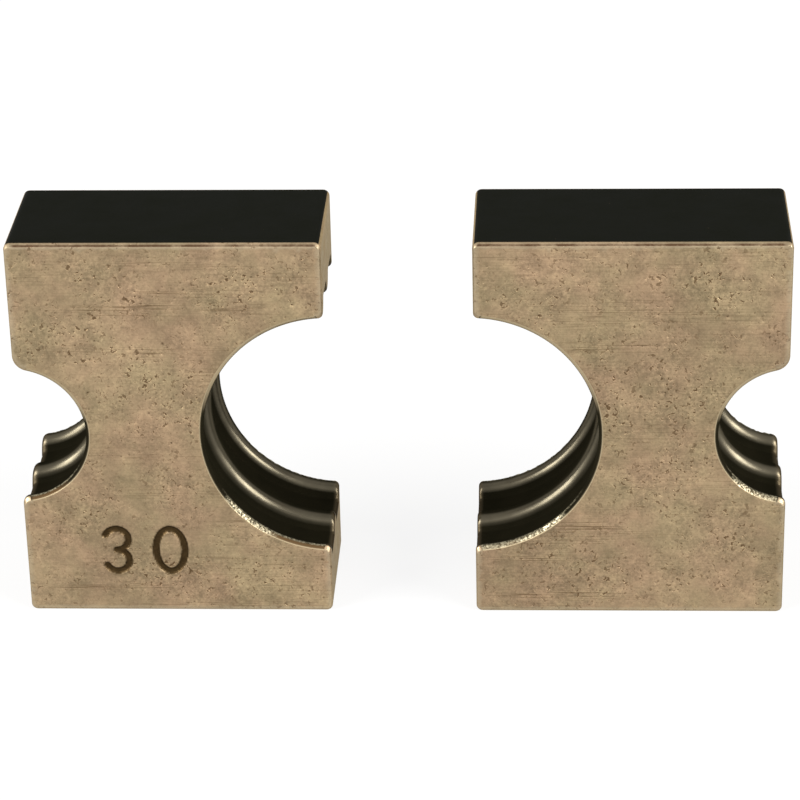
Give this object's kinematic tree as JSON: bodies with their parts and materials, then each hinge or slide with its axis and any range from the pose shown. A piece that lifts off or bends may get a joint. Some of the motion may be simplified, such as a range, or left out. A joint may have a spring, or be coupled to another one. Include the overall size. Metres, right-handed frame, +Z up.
{
  "type": "hose crimping die pair",
  "caption": "Pair of double-ended steel crimping die halves: each block has a large and a small ribbed half-round bore that close around a hose ferrule.",
  "frame": {"origin": "centre of the pair's footprint, on the surface that both halves stand on", "axes": "+X from the left half to the right half, +Y from the front face with the number to the back, +Z up"},
  "size_m": [0.094, 0.0176, 0.05],
  "materials": {
    "tool_steel": "satin ground tool steel, tanned by heat treatment"
  },
  "bodies": {
    "left_half": {"die_half_left": "tool_steel"},
    "right_half": {"die_half_right": "tool_steel"}
  },
  "joints": [
    {"name": "die_close", "type": "slide", "parent": "left_half", "child": "right_half", "axis": [-1, 0, 0], "range_m": [0, 0.018]}
  ]
}
